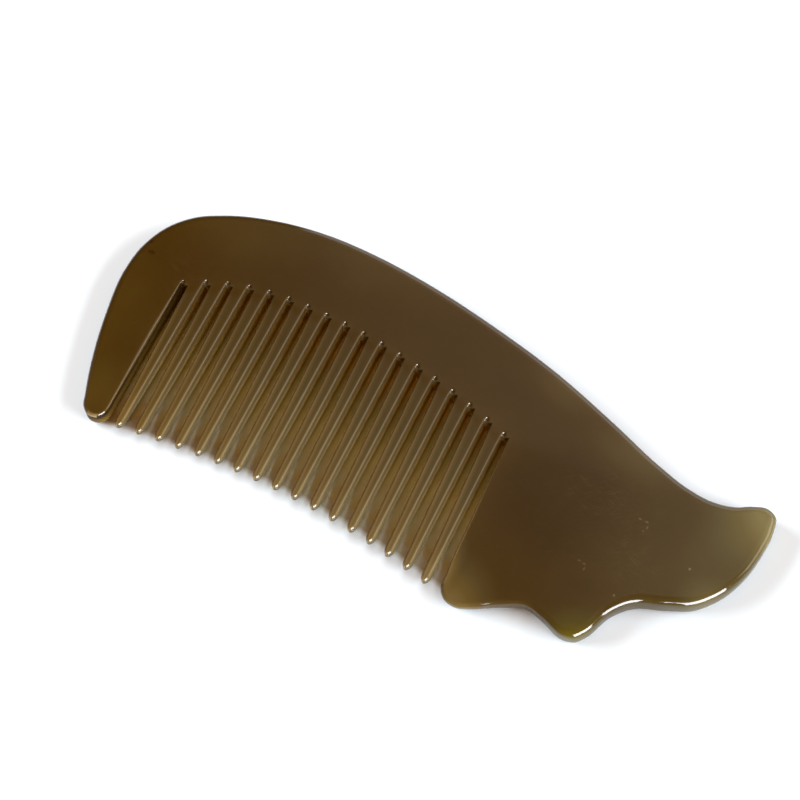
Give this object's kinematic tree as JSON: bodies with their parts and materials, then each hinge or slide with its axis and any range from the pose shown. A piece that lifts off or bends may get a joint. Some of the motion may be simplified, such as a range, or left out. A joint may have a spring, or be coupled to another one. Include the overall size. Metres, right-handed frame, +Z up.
{
  "type": "horn comb",
  "caption": "Flat one-piece horn comb: rounded head with a guard tooth, a row of sawn teeth that thin to their tips, and a body that runs out into a fin and a broad tail.",
  "frame": {"origin": "centre of the bounding box, on the face that the comb lies on", "axes": "+X along the comb from head to tail, +Y from the teeth towards the back, +Z up out of the face that the comb lies on"},
  "size_m": [0.1498, 0.0672, 0.0048],
  "materials": {
    "horn": "polished brown horn, a little translucent at the thin edges"
  },
  "bodies": {
    "root": {"comb": "horn"}
  },
  "joints": []
}
